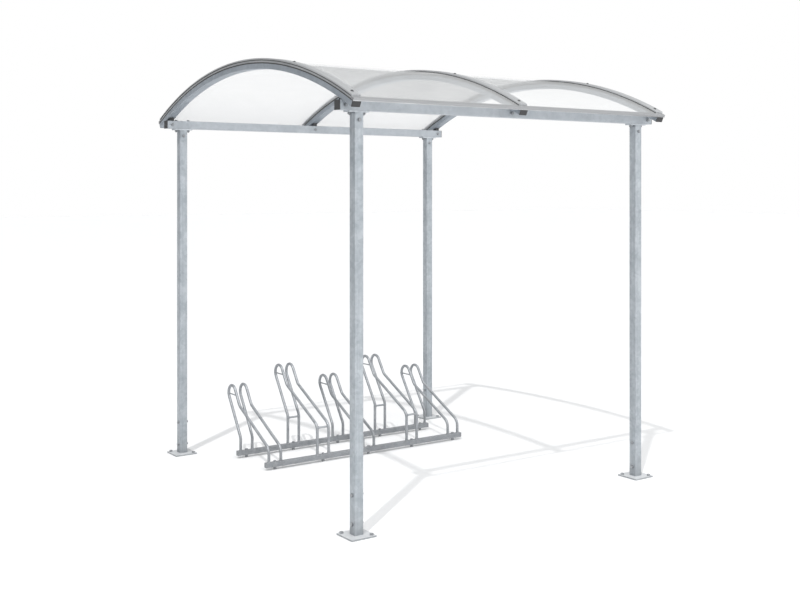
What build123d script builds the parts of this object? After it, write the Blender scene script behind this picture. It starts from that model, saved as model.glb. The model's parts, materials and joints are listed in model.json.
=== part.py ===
from build123d import *
import math
import os

# Bike shelter: four posts, two beams, three arches, a curved roof of two
# translucent sheets, and a low/high wheel rack under it.
# Millimetres. X runs along the beams, Y from front to back, Z is up.
# The origin is on the ground at the centre of the posts.

# Driving dimensions of the frame. Its length follows from the roof sheets below
post_spacing_y = 2076.0
beam_underside = 2090.0
beam_overhang = 110.0
beam_end_margin = 7.0
frame_tube = 50.0
frame_wall = 2.0
frame_corner = 3.0
least_corner = 0.5

# Base plates and the spigots that hold the posts
foot_plate = 145.0
foot_plate_thickness = 8.0
foot_plate_corner = 4.0
anchor_offset = 54.0
anchor_hole = 13.0
spigot_clearance = 0.3
spigot_wall = 3.0
foot_spigot_height = 232.0
foot_bolt_heights = (60.0, 202.0)
frame_bolt_hole = 11.0

# Head brackets under the beams
head_plate_length = 120.0
head_plate_thickness = 8.0
head_spigot_depth = 80.0
head_bolt_offset = 42.0
head_bolt_drop = 45.0
vent_notch_radius = 6.0

# Arches
arch_width = 50.0
arch_height = 30.0
arch_wall = 2.0
arch_corner = 2.5
arch_radius = 2560.0
arch_overhang = 119.0
arch_seat_gap = 0.3

# Wedge saddles between beam and arch
saddle_width = 26.0
saddle_outer_inset = 8.0
saddle_inner_inset = 6.0
saddle_clearance = 0.05

# Plastic end caps
cap_thickness = 3.0
cap_plug_depth = 18.0
cap_clearance = 0.3
cap_corner = 2.0

# Roof sheets and what clamps them
seal_pad = 4.0
sheet_thickness = 10.0
sheet_width = 1050.0
sheet_gap = 12.0
sheet_edge_bearing = 20.0
sheet_clearance = 0.3
upper_seal = 4.0
seal_lip_width = 9.0
cover_width = 54.0
cover_height = 9.0
cover_wall = 2.0
cover_chamfer = 4.0
trim_wall = 1.5

# Eave profiles on the cut ends of the sheets
eave_depth = 25.0
eave_wall = 1.5
eave_lead = 4.0
eave_overrun = 1.0

# Wheel rack
rack_centre_x = -7.0
rack_front_y = 336.0
rack_back_y = 711.0
rail_lift = 16.0
rail_spacer = 18.0
rail_overhang = 23.0
rail_tube = 30.0
rail_wall = 2.0
rail_corner = 2.0
rail_bolt_hole = 11.0
place_count = 5
place_pitch = 341.0
hoop_spacing = 82.0
hoop_bar = 18.0
hoop_bend = 60.0
high_place_lift = 100.0
front_leg_top = 128.0
knee_lead = 13.0
knee_height = 326.0
hairpin_lean = 56.0
hairpin_gap = 100.0
hairpin_crown = 0.02
hairpin_height = 442.0
tie_bar = 8.0
tie_drop = 56.0
rest_bar = 12.0
rest_bar_height = 214.0

# Levels and places worked out from the sizes above
post_foot = foot_plate_thickness
post_top = beam_underside - head_plate_thickness
beam_top = beam_underside + frame_tube
beam_middle = beam_underside + frame_tube / 2
arch_offset = sheet_gap / 2 + sheet_width - sheet_edge_bearing + arch_width / 2
beam_length = 2 * (arch_offset + arch_width / 2 + beam_end_margin)
half_x = beam_length / 2 - beam_overhang
half_y = post_spacing_y / 2
beam_outer_y = half_y + frame_tube / 2
beam_inner_y = half_y - frame_tube / 2
arch_reach = half_y + arch_overhang
spigot_size = frame_tube - 2 * frame_wall - 2 * spigot_clearance
spigot_corner = max(frame_corner - frame_wall, least_corner)

# The roof is turned about one axis along X, so every layer is a radius
seat_height = beam_top + arch_seat_gap
axis_z = seat_height - math.sqrt(arch_radius ** 2 - beam_outer_y ** 2)
arch_top_radius = arch_radius + arch_height
lower_seal = seal_pad + eave_wall + sheet_clearance
seal_radius = arch_top_radius + lower_seal
sheet_radius = seal_radius + sheet_thickness
cover_radius = sheet_radius + upper_seal
roof_radius = cover_radius + cover_height
sheet_middle_radius = seal_radius + sheet_thickness / 2
cap_angle = math.degrees(math.asin(arch_reach / (arch_radius + arch_height / 2)))
arch_angle = cap_angle - math.degrees(cap_thickness / arch_radius)
eave_angle = cap_angle + math.degrees(eave_lead / sheet_middle_radius)
sheet_angle = eave_angle - math.degrees((eave_wall + sheet_clearance) / sheet_middle_radius)
clamp_angle = eave_angle - math.degrees((eave_depth + sheet_clearance) / seal_radius)
lip_angle = clamp_angle - math.degrees((cover_wall + sheet_clearance) / cover_radius)

# The wheel places stand at even steps, and the rails reach a little past the outer hoops
place_xs = [rack_centre_x + (place - (place_count - 1) / 2) * place_pitch for place in range(place_count)]
rail_length = (place_count - 1) * place_pitch + hoop_spacing + 2 * rail_overhang

roof_axis = Axis((0, 0, axis_z), (-1, 0, 0))


def radial_plane(angle, x=0.0):
    """Plane across the roof, turned from its top towards the back: x along X, y outwards."""
    turn = math.radians(angle)
    return Plane(
        origin=(x, 0, axis_z),
        x_dir=(1, 0, 0),
        z_dir=(0, -math.cos(turn), math.sin(turn)),
    )


def save(part, name):
    """Label one finished piece and write it."""
    part.label = name
    export_step(part, f"parts/{name}.step")


def square_tube(plane, size, wall, corner, length):
    """Hollow square section with rounded corners, drawn on a plane and run along it."""
    inner = size - 2 * wall
    with BuildPart() as tube:
        with BuildSketch(plane):
            RectangleRounded(size, size, corner)
            RectangleRounded(inner, inner, max(corner - wall, least_corner), mode=Mode.SUBTRACT)
        extrude(amount=length)
    return tube.part


def post(x, y):
    """Post with two cross bolts at the foot, one at the head and a vent notch under the plate."""
    with BuildPart() as tube:
        add(square_tube(Plane((x, y, post_foot)), frame_tube, frame_wall, frame_corner,
                        post_top - post_foot))
        for height in foot_bolt_heights:
            with Locations(Location((x, y, height), (0, 90, 0))):
                Cylinder(frame_bolt_hole / 2, 2 * frame_tube, mode=Mode.SUBTRACT)
        with Locations(Location((x, y, beam_underside - head_bolt_drop), (90, 0, 0))):
            Cylinder(frame_bolt_hole / 2, 2 * frame_tube, mode=Mode.SUBTRACT)
        with Locations(Location((x, y, post_top), (0, 90, 0))):
            Cylinder(vent_notch_radius, 2 * frame_tube, mode=Mode.SUBTRACT)
    return tube.part


def foot(x, y):
    """Base plate with a spigot that the post slides over and is bolted to."""
    with BuildPart() as base:
        with BuildSketch(Plane((x, y, 0))):
            RectangleRounded(foot_plate, foot_plate, foot_plate_corner)
        extrude(amount=foot_plate_thickness)
        add(square_tube(Plane((x, y, foot_plate_thickness)), spigot_size, spigot_wall,
                        spigot_corner, foot_spigot_height))
        for height in foot_bolt_heights:
            with Locations(Location((x, y, height), (0, 90, 0))):
                Cylinder(frame_bolt_hole / 2, 2 * frame_tube, mode=Mode.SUBTRACT)
        with Locations((x - anchor_offset, y + anchor_offset, 0), (x + anchor_offset, y - anchor_offset, 0)):
            Cylinder(anchor_hole / 2, 4 * foot_plate_thickness, mode=Mode.SUBTRACT)
    return base.part


def head(x, y):
    """Head bracket: a plate bolted up into the beam, with a spigot down inside the post."""
    with BuildPart() as bracket:
        with BuildSketch(Plane((x, y, post_top))):
            Rectangle(head_plate_length, frame_tube)
        extrude(amount=head_plate_thickness)
        add(square_tube(Plane((x, y, post_top - head_spigot_depth)), spigot_size, spigot_wall,
                        spigot_corner, head_spigot_depth))
        with Locations((x - head_bolt_offset, y, post_top), (x + head_bolt_offset, y, post_top)):
            Cylinder(frame_bolt_hole / 2, 4 * head_plate_thickness, mode=Mode.SUBTRACT)
        with Locations(Location((x, y, beam_underside - head_bolt_drop), (90, 0, 0))):
            Cylinder(frame_bolt_hole / 2, 2 * frame_tube, mode=Mode.SUBTRACT)
    return bracket.part


def beam(y):
    """Beam with the bolt holes over each post and a cross bolt hole under each arch."""
    start = Plane(origin=(-beam_length / 2, y, beam_middle), x_dir=(0, 1, 0), z_dir=(1, 0, 0))
    with BuildPart() as tube:
        add(square_tube(start, frame_tube, frame_wall, frame_corner, beam_length))
        for post_x in (-half_x, half_x):
            with Locations((post_x - head_bolt_offset, y, beam_middle),
                           (post_x + head_bolt_offset, y, beam_middle)):
                Cylinder(frame_bolt_hole / 2, 2 * frame_tube, mode=Mode.SUBTRACT)
        for arch_x in (-arch_offset, 0, arch_offset):
            with Locations(Location((arch_x, y, beam_middle), (90, 0, 0))):
                Cylinder(frame_bolt_hole / 2, 2 * frame_tube, mode=Mode.SUBTRACT)
    return tube.part


def beam_end_cap(side, y):
    """Plastic cap on a beam end, with a plug inside the tube."""
    outward = Plane(origin=(side * beam_length / 2, y, beam_middle), x_dir=(0, 1, 0), z_dir=(side, 0, 0))
    plug = frame_tube - 2 * frame_wall - 2 * cap_clearance
    with BuildPart() as cap:
        with BuildSketch(outward):
            RectangleRounded(frame_tube, frame_tube, cap_corner)
        extrude(amount=cap_thickness)
        with BuildSketch(outward):
            RectangleRounded(plug, plug, spigot_corner)
        extrude(amount=-cap_plug_depth)
    return cap.part


def arch(x):
    """Curved rectangular tube: its hollow section is turned about the roof axis."""
    start = radial_plane(-arch_angle, x)
    middle = arch_radius + arch_height / 2
    with BuildPart() as tube:
        with BuildSketch(start):
            with Locations((0, middle)):
                RectangleRounded(arch_width, arch_height, arch_corner)
                RectangleRounded(arch_width - 2 * arch_wall, arch_height - 2 * arch_wall,
                                 least_corner, mode=Mode.SUBTRACT)
        revolve(axis=roof_axis, revolution_arc=2 * arch_angle)
    return tube.part


def arch_end_cap(x, side):
    """Plastic cap on an arch end, square to the tube, with a plug inside it."""
    end = radial_plane(side * arch_angle, x)
    middle = arch_radius + arch_height / 2
    plug_width = arch_width - 2 * arch_wall - 2 * cap_clearance
    plug_height = arch_height - 2 * arch_wall - 2 * cap_clearance
    with BuildPart() as cap:
        with BuildSketch(end):
            with Locations((0, middle)):
                RectangleRounded(arch_width, arch_height, cap_corner)
        extrude(amount=-side * cap_thickness)
        with BuildSketch(end):
            with Locations((0, middle)):
                Rectangle(plug_width, plug_height)
        extrude(amount=side * cap_plug_depth)
    return cap.part


def saddle(x, side):
    """Wedge that fills the space between the flat beam top and the rising arch."""
    outer = side * (beam_outer_y - saddle_outer_inset)
    inner = side * (beam_inner_y + saddle_inner_inset)
    radius = arch_radius - saddle_clearance
    outer_z = axis_z + math.sqrt(radius ** 2 - outer ** 2)
    inner_z = axis_z + math.sqrt(radius ** 2 - inner ** 2)
    with BuildPart() as wedge:
        with BuildSketch(Plane.YZ.offset(x)):
            with BuildLine():
                Polyline((outer, outer_z), (outer, beam_top), (inner, beam_top), (inner, inner_z))
                RadiusArc((inner, inner_z), (outer, outer_z), side * radius)
            make_face()
        extrude(amount=saddle_width / 2, both=True)
    return wedge.part


def roof_band(x, inner_radius, thickness, width, angle):
    """Flat strip turned about the roof axis, as wide as given and centred on x."""
    with BuildPart() as band:
        with BuildSketch(radial_plane(-angle)):
            with Locations((x, inner_radius + thickness / 2)):
                Rectangle(width, thickness)
        revolve(axis=roof_axis, revolution_arc=2 * angle)
    return band.part


def lower_seal_strip(x):
    """Rubber strip on an arch: full height under the sheets, and a thin pad out to the arch ends."""
    with BuildPart() as strip:
        add(roof_band(x, arch_top_radius, seal_pad, arch_width, arch_angle))
        add(roof_band(x, arch_top_radius + seal_pad, lower_seal - seal_pad, arch_width, clamp_angle))
    return strip.part


def edge_trim(side):
    """Channel closing the outer long edge of a sheet, open towards the sheet."""
    outer_x = side * (arch_offset + arch_width / 2)
    sheet_edge = side * (sheet_gap / 2 + sheet_width + sheet_clearance)
    middle = (outer_x + sheet_edge) / 2
    width = abs(outer_x - sheet_edge)
    with BuildPart() as channel:
        with BuildSketch(radial_plane(-clamp_angle)):
            with Locations((middle, sheet_middle_radius)):
                Rectangle(width, sheet_thickness)
            with Locations((middle - side * trim_wall, sheet_middle_radius)):
                Rectangle(width, sheet_thickness - 2 * trim_wall, mode=Mode.SUBTRACT)
        revolve(axis=roof_axis, revolution_arc=2 * clamp_angle)
    return channel.part


def cap_outline(half_width, base, top):
    """Corner points of the cap rail's chamfered cross-section, or of the hollow inside it."""
    return [
        (-half_width, base),
        (-half_width, top - cover_chamfer),
        (-half_width + cover_chamfer, top),
        (half_width - cover_chamfer, top),
        (half_width, top - cover_chamfer),
        (half_width, base),
    ]


def cover_strip(x):
    """Cap rail over a joint: two lips press on the seals, and a plate closes it at each end."""
    outer = cap_outline(cover_width / 2, sheet_radius + sheet_clearance, roof_radius)
    inner = cap_outline(cover_width / 2 - cover_wall, sheet_radius, roof_radius - cover_wall)
    plate_turn = math.degrees(cover_wall / cover_radius)
    with BuildPart() as rail:
        with BuildSketch(radial_plane(-clamp_angle, x)):
            Polygon(*outer, align=None)
        revolve(axis=roof_axis, revolution_arc=2 * clamp_angle)
        with BuildSketch(radial_plane(plate_turn - clamp_angle, x)):
            Polygon(*inner, align=None)
            with Locations((0, sheet_radius + upper_seal / 2)):
                Rectangle(2 * cover_width, upper_seal)
        revolve(axis=roof_axis, revolution_arc=2 * (clamp_angle - plate_turn), mode=Mode.SUBTRACT)
    return rail.part


def eave_profile(side):
    """Channel over the cut ends of the sheets, closed by a plate at each of its own ends."""
    turn = math.radians(eave_angle)
    face = Plane(
        origin=(0, side * sheet_middle_radius * math.sin(turn),
                axis_z + sheet_middle_radius * math.cos(turn)),
        x_dir=(0, side * math.cos(turn), -math.sin(turn)),
        z_dir=(side, 0, 0),
    )
    slot = sheet_thickness + sheet_clearance
    half_length = arch_offset + arch_width / 2 + eave_overrun
    with BuildPart() as profile:
        with BuildSketch(face):
            with Locations((-eave_depth / 2, 0)):
                Rectangle(eave_depth, slot + 2 * eave_wall)
        extrude(amount=half_length, both=True)
        with BuildSketch(face):
            with Locations((-eave_depth / 2 - eave_wall, 0)):
                Rectangle(eave_depth, slot)
        extrude(amount=half_length - eave_wall, both=True, mode=Mode.SUBTRACT)
    return profile.part


def rack_rail(y):
    """Rail that the hoops are welded to, closed at its ends, with a bolt hole at each place."""
    start_x = rack_centre_x - rail_length / 2
    middle_z = rail_lift + rail_tube / 2
    start = Plane(origin=(start_x, y, middle_z), x_dir=(0, 1, 0), z_dir=(1, 0, 0))
    hollow = rail_tube - 2 * rail_wall
    with BuildPart() as rail:
        with BuildSketch(start):
            RectangleRounded(rail_tube, rail_tube, rail_corner)
        extrude(amount=rail_length)
        with BuildSketch(start.offset(rail_wall)):
            RectangleRounded(hollow, hollow, least_corner)
        extrude(amount=rail_length - 2 * rail_wall, mode=Mode.SUBTRACT)
        for place_x in place_xs:
            with Locations((place_x, y, middle_z)):
                Cylinder(rail_bolt_hole / 2, 2 * rail_tube, mode=Mode.SUBTRACT)
    return rail.part


def rack_spacer(x, y):
    """Round spacer that keeps a rail clear of the ground around its anchor bolt."""
    with BuildPart() as spacer:
        with BuildSketch(Plane((x, y, 0))):
            Circle(rail_spacer / 2)
            Circle(rail_bolt_hole / 2, mode=Mode.SUBTRACT)
        extrude(amount=rail_lift)
    return spacer.part


def hoop(x, lift, tied):
    """Bent bar: front leg, long slope, steep hairpin and rear leg, in one plane across X."""
    rail_top = rail_lift + rail_tube
    lean = math.radians(hairpin_lean)
    along = (math.cos(lean), math.sin(lean))
    across = (math.sin(lean), -math.cos(lean))
    knee = (rack_back_y + knee_lead, knee_height + lift)
    bend = hairpin_gap / 2
    hairpin_bend = (hairpin_gap - hairpin_crown) / 2
    rise = (hairpin_height + lift - bend - knee[1] + bend * math.cos(lean)) / math.sin(lean) + bend
    tip = (knee[0] + along[0] * rise, knee[1] + along[1] * rise)
    tail = (tip[0] + across[0] * hairpin_gap, tip[1] + across[1] * hairpin_gap)
    heel_drop = (tail[0] - rack_back_y) / along[0]
    heel = (rack_back_y, tail[1] - along[1] * heel_drop)
    with BuildPart() as bar:
        with BuildLine(Plane.YZ.offset(x)) as path:
            FilletPolyline(
                (rack_front_y, rail_top),
                (rack_front_y, front_leg_top + lift),
                knee,
                tip,
                tail,
                heel,
                (rack_back_y, rail_top),
                radius=(hoop_bend, hoop_bend, hairpin_bend, hairpin_bend, hoop_bend),
            )
        with BuildSketch(Plane((x, rack_front_y, rail_top))):
            Circle(hoop_bar / 2)
        sweep(path=path.line)
        if tied:
            tie_z = hairpin_height - tie_drop + lift
            front_y = knee[0] + (tie_z - knee[1]) / math.tan(lean)
            with BuildSketch(Plane(origin=(x, front_y, tie_z), z_dir=(0, 1, 0))):
                Circle(tie_bar / 2)
            extrude(amount=hairpin_gap / math.sin(lean))
    return bar.part


def low_place(x):
    """Two separate hoops with the wheel slot between them; the wheel stands on the ground."""
    left = hoop(x - hoop_spacing / 2, 0.0, tied=True)
    right = hoop(x + hoop_spacing / 2, 0.0, tied=False)
    return Compound(children=[left, right])


def high_place(x):
    """Two raised hoops welded into one by the cross bars that the raised wheel rests on."""
    with BuildPart() as pair:
        add(hoop(x - hoop_spacing / 2, high_place_lift, tied=True))
        add(hoop(x + hoop_spacing / 2, high_place_lift, tied=False))
        for y in (rack_front_y, rack_back_y):
            with BuildSketch(Plane(origin=(x - hoop_spacing / 2, y, rest_bar_height), z_dir=(1, 0, 0))):
                Circle(rest_bar / 2)
            extrude(amount=hoop_spacing)
    return pair.part


os.makedirs("parts", exist_ok=True)

corners = {
    "front_left": (-half_x, -half_y),
    "front_right": (half_x, -half_y),
    "back_left": (-half_x, half_y),
    "back_right": (half_x, half_y),
}
for corner_name, (corner_x, corner_y) in corners.items():
    save(post(corner_x, corner_y), f"post_{corner_name}")
    save(foot(corner_x, corner_y), f"foot_{corner_name}")
    save(head(corner_x, corner_y), f"head_bracket_{corner_name}")

save(beam(-half_y), "front_beam")
save(beam(half_y), "back_beam")

arches = {"left": -arch_offset, "middle": 0.0, "right": arch_offset}
lip_offset = cover_width / 2 - seal_lip_width / 2
for arch_name, arch_x in arches.items():
    save(arch(arch_x), f"arch_{arch_name}")
    save(lower_seal_strip(arch_x), f"lower_seal_{arch_name}")
    save(cover_strip(arch_x), f"cover_strip_{arch_name}")
    lips = [roof_band(arch_x + side * lip_offset, sheet_radius, upper_seal, seal_lip_width, lip_angle)
            for side in (-1, 1)]
    save(Compound(children=lips), f"upper_seal_{arch_name}")

sheet_offset = (sheet_gap + sheet_width) / 2
for side_name, side in (("left", -1), ("right", 1)):
    save(roof_band(side * sheet_offset, seal_radius, sheet_thickness, sheet_width, sheet_angle),
         f"roof_sheet_{side_name}")
    save(edge_trim(side), f"edge_trim_{side_name}")

for end_name, side in (("front", -1), ("back", 1)):
    save(eave_profile(side), f"eave_profile_{end_name}")

beam_caps = [beam_end_cap(side, y) for side in (-1, 1) for y in (-half_y, half_y)]
save(Compound(children=beam_caps), "beam_end_caps")
arch_caps = [arch_end_cap(x, side) for x in arches.values() for side in (-1, 1)]
save(Compound(children=arch_caps), "arch_end_caps")
saddles = [saddle(x, side) for x in arches.values() for side in (-1, 1)]
save(Compound(children=saddles), "arch_saddles")

save(rack_rail(rack_front_y), "rack_rail_front")
save(rack_rail(rack_back_y), "rack_rail_back")
spacers = [rack_spacer(x, y) for y in (rack_front_y, rack_back_y) for x in place_xs]
save(Compound(children=spacers), "rack_spacers")
for place, place_x in enumerate(place_xs):
    if place % 2 == 0:
        save(low_place(place_x), f"hoops_low_{place + 1}")
    else:
        save(high_place(place_x), f"hoops_high_{place + 1}")
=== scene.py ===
# %% [markdown]
# # A bike shelter with a curved translucent roof
# The shapes that carry load come from the CAD part: posts, beams, arches, roof sheets and
# the wheel rack. This lesson gives them their finishes, adds the bolts, screws and welds
# that hold them together, and sets up the camera and a white studio.
# Everything is in metres. X runs along the beams, Y from front to back, Z is up, and the
# origin is on the ground at the centre of the four posts.

# %% Load the frame
import json
import math

import bpy
import numpy as np
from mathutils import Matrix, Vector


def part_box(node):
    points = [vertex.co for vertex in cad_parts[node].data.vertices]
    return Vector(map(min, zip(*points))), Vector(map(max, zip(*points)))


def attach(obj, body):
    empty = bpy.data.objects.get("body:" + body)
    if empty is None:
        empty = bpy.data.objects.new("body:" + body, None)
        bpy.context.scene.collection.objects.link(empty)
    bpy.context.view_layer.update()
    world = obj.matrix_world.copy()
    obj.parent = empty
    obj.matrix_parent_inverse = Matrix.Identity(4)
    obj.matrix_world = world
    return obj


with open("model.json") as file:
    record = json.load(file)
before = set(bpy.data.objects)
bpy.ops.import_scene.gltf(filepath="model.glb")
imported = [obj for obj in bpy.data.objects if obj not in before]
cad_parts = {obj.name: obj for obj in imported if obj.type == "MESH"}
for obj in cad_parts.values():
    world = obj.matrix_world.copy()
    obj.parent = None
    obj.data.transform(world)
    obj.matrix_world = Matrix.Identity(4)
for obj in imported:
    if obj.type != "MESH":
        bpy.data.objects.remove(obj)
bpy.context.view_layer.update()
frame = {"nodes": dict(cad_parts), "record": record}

scene = bpy.context.scene
nodes = frame["nodes"]

# %% [markdown]
# ## Places taken from the frame
# A bolt has to sit exactly on the tube that it clamps, so its place is read from the boxes
# of the CAD nodes and not typed in again. The roof is turned about one line along X. Its
# radius is a driving size of the part, and the line's height follows from the arch's top.

# %% Read the places
corner_names = ("front_left", "front_right", "back_left", "back_right")
post_boxes = {name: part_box(f"post_{name}") for name in corner_names}
post_centres = {name: (low + high) / 2 for name, (low, high) in post_boxes.items()}
tube_half = (post_boxes["front_left"][1].x - post_boxes["front_left"][0].x) / 2

beam_boxes = {side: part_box(f"{side}_beam") for side in ("front", "back")}
beam_underside = beam_boxes["front"][0].z
beam_top = beam_boxes["front"][1].z
beam_middle = (beam_underside + beam_top) / 2

arch_names = ("left", "middle", "right")
arch_boxes = {name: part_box(f"arch_{name}") for name in arch_names}
arch_xs = [(low.x + high.x) / 2 for low, high in arch_boxes.values()]

arch_top_radius = 2.590
axis_height = arch_boxes["middle"][1].z - arch_top_radius
roof_top_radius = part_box("cover_strip_middle")[1].z - axis_height
foot_spigot_height = 0.232
plate_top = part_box("foot_front_left")[1].z - foot_spigot_height
bracket_underside = post_boxes["front_left"][1].z
print("beam from", round(beam_underside, 3), "to", round(beam_top, 3),
      "and roof radius", round(roof_top_radius, 3))

# %% [markdown]
# ## The camera
# The photograph looks from the front left at a standing person's eye height. Its posts stay
# upright and parallel, as they do with an architect's lens: the camera is level, and the
# frame is shifted down to take in the ground. A level camera with a vertical shift gives
# the same picture, where a tilted one would make the posts lean together.

# %% Place the camera
eye = (-3.9421, -5.6369, 1.710)
heading = math.radians(35.0)
lens = 50.0
sensor_width = 36.0
photo_width_pixels = 800.0
horizon_rise_pixels = 112.0

camera_data = bpy.data.cameras.new("photo_camera")
camera_data.lens = lens
camera_data.sensor_width = sensor_width
camera_data.shift_y = -horizon_rise_pixels / photo_width_pixels
camera_data.clip_end = 200.0
camera = bpy.data.objects.new("photo_camera", camera_data)
camera.location = eye
camera.rotation_euler = (math.pi / 2, 0.0, -heading)
scene.collection.objects.link(camera)
scene.camera = camera
print("camera at", eye, "heading", round(math.degrees(heading), 2), "degrees right of +Y")

# %% [markdown]
# ## A short way to write shader nodes
# A material is a network of small nodes. Building one by hand takes three steps each time:
# add a node, set the numbers on its sockets, and join it to the next. The helpers below do
# that, so each finish reads as a recipe. A socket takes either a number or the output of
# another node.

# %% Helpers for shader nodes
def put(tree, kind, inputs=None, **settings):
    """Add one node, set its properties, and set or join its inputs by name or number."""
    node = tree.nodes.new(kind)
    for name, value in settings.items():
        setattr(node, name, value)
    for key, value in (inputs or {}).items():
        if isinstance(value, bpy.types.NodeSocket):
            tree.links.new(value, node.inputs[key])
        else:
            node.inputs[key].default_value = value
    return node


def maths(tree, operation, first, second=0.0, third=0.0):
    """One arithmetic step on up to three numbers or sockets."""
    values = {0: first, 1: second, 2: third}
    return put(tree, "ShaderNodeMath", values, operation=operation).outputs[0]


def spread(tree, value, low, high, to_low=0.0, to_high=1.0):
    """Carry a value from one range to another with a soft start and end."""
    values = {"Value": value, "From Min": low, "From Max": high,
              "To Min": to_low, "To Max": to_high}
    node = put(tree, "ShaderNodeMapRange", values, interpolation_type="SMOOTHSTEP")
    return node.outputs["Result"]


# The Mix node keeps a set of sockets for each kind of value: these are the ones for colours
mix_amount, mix_first, mix_second, mix_result = 0, 6, 7, 2


def blend_colours(tree, amount, first, second):
    """Mix two colours by a mask."""
    values = {mix_amount: amount, mix_first: first, mix_second: second}
    return put(tree, "ShaderNodeMix", values, data_type="RGBA").outputs[mix_result]


def stretched_place(tree, x, y, z):
    """Object coordinates divided by a pattern's size along each axis, in metres."""
    place = put(tree, "ShaderNodeTexCoord").outputs["Object"]
    size = put(tree, "ShaderNodeCombineXYZ", {0: x, 1: y, 2: z}).outputs[0]
    return put(tree, "ShaderNodeVectorMath", {0: place, 1: size}, operation="DIVIDE").outputs[0]


def even_place(tree, size):
    """Object coordinates divided by the same size along every axis."""
    return stretched_place(tree, size, size, size)


def one_axis(tree, source, axis):
    """The X, Y or Z of the surface's place (Object) or of the way it faces (Normal)."""
    vector = put(tree, "ShaderNodeTexCoord").outputs[source]
    return put(tree, "ShaderNodeSeparateXYZ", {0: vector}).outputs[axis]


def noise(tree, place, detail, roughness=0.5, scale=1.0):
    """Soft random clouds between 0 and 1; more detail adds finer ones on top."""
    values = {"Vector": place, "Scale": scale, "Detail": detail, "Roughness": roughness}
    return put(tree, "ShaderNodeTexNoise", values).outputs["Fac"]


def start_group(name, inputs, outputs):
    """An empty effect with named number inputs and outputs."""
    group = bpy.data.node_groups.new(name, "ShaderNodeTree")
    for label, value in inputs.items():
        socket = group.interface.new_socket(label, in_out="INPUT", socket_type="NodeSocketFloat")
        socket.default_value = value
    for label in outputs:
        group.interface.new_socket(label, in_out="OUTPUT", socket_type="NodeSocketFloat")
    entry = group.nodes.new("NodeGroupInput")
    exit_node = group.nodes.new("NodeGroupOutput")
    return group, entry.outputs, exit_node.inputs


def use(tree, group, **inputs):
    """Place an effect in a material and set its inputs; underscores stand for spaces."""
    node = put(tree, "ShaderNodeGroup", node_tree=group)
    for label, value in inputs.items():
        node.inputs[label.replace("_", " ").capitalize()].default_value = value
    return node.outputs


print("helpers ready")

# %% [markdown]
# ## What hot-dip galvanising looks like
# Steel dipped in molten zinc freezes into a patchwork of crystals, a few millimetres to a
# couple of centimetres wide, each turned its own way and so a little lighter or darker than
# its neighbours. Over them lies a cloudy bloom. Random cells (Voronoi) give the crystals and
# soft noise gives the cloud. The cells' edges are bent by noise first, because real crystals
# are ragged and never cut like tiles. Tubes, plates and bent bars all share this effect with
# their own crystal size, so it is built once, as a group.

# %% Zinc crystals
zinc_crystals, given, result = start_group(
    "zinc crystals", {"Crystal size": 0.012, "Raggedness": 0.35}, ("Crystal", "Cloud", "Grain"))
tree = zinc_crystals
mean_noise = (0.5, 0.5, 0.5)
dents_per_crystal, grains_per_crystal, clouds_per_crystal = 1.7, 14.0, 0.16

cell_place = even_place(tree, given["Crystal size"])
dents = {"Vector": cell_place, "Scale": dents_per_crystal, "Detail": 3.0}
ragged = put(tree, "ShaderNodeTexNoise", dents).outputs["Color"]
push = put(tree, "ShaderNodeVectorMath", {0: ragged, 1: mean_noise},
           operation="SUBTRACT").outputs[0]
push = put(tree, "ShaderNodeVectorMath", {0: push, "Scale": given["Raggedness"]},
           operation="SCALE").outputs[0]
bent_place = put(tree, "ShaderNodeVectorMath", {0: cell_place, 1: push}, operation="ADD").outputs[0]
cells = put(tree, "ShaderNodeTexVoronoi", {"Vector": bent_place, "Scale": 1.0})
cell_tone = put(tree, "ShaderNodeSeparateColor", {0: cells.outputs["Color"]}).outputs[0]
tree.links.new(cell_tone, result["Crystal"])
cloud = noise(tree, cell_place, detail=5.0, roughness=0.62, scale=clouds_per_crystal)
tree.links.new(spread(tree, cloud, low=0.30, high=0.70), result["Cloud"])
grain = noise(tree, cell_place, detail=2.0, scale=grains_per_crystal)
tree.links.new(grain, result["Grain"])
print("group:", zinc_crystals.name)

# %% [markdown]
# ## Runs and rain streaks
# Zinc drains off a tube as it is lifted from the bath, and years of rain then follow the
# same way down, so a post carries faint upright streaks. Noise whose pattern is long in Z
# and narrow in X and Y gives them. A mask close to the ground adds the dull splash zone.

# %% Rain streaks and ground splash
rain_streaks, given, result = start_group(
    "rain streaks", {"Streak width": 0.010, "Streak length": 0.45}, ("Streak",))
tree = rain_streaks
width, length = given["Streak width"], given["Streak length"]
streak = noise(tree, stretched_place(tree, width, width, length), detail=4.0, roughness=0.6)
tree.links.new(spread(tree, streak, low=0.42, high=0.68), result["Streak"])

ground_splash, given, result = start_group("ground splash", {"Splash height": 0.25}, ("Splash",))
tree = ground_splash
spot_width, spot_height = 0.03, 0.05
raggedness = 0.16
spots = noise(tree, stretched_place(tree, spot_width, spot_width, spot_height), detail=5.0)
ragged_height = maths(tree, "MULTIPLY_ADD", spots, raggedness, one_axis(tree, "Object", "Z"))
share = maths(tree, "DIVIDE", ragged_height, given["Splash height"])
splash = spread(tree, share, low=0.3, high=1.1, to_low=1.0, to_high=0.0)
tree.links.new(splash, result["Splash"])
print("groups:", rain_streaks.name, "and", ground_splash.name)

# %% [markdown]
# ## Lines drawn along an extrusion
# Aluminium cap rails and eave channels are pressed through a die, which leaves hair-fine
# lines along their length. The rails of this roof bend in the plane across X, so the same
# noise works for all of them: very fine in X, long in Y and Z. Dust then settles on whatever
# faces the sky, which the surface's own normal tells.

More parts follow.
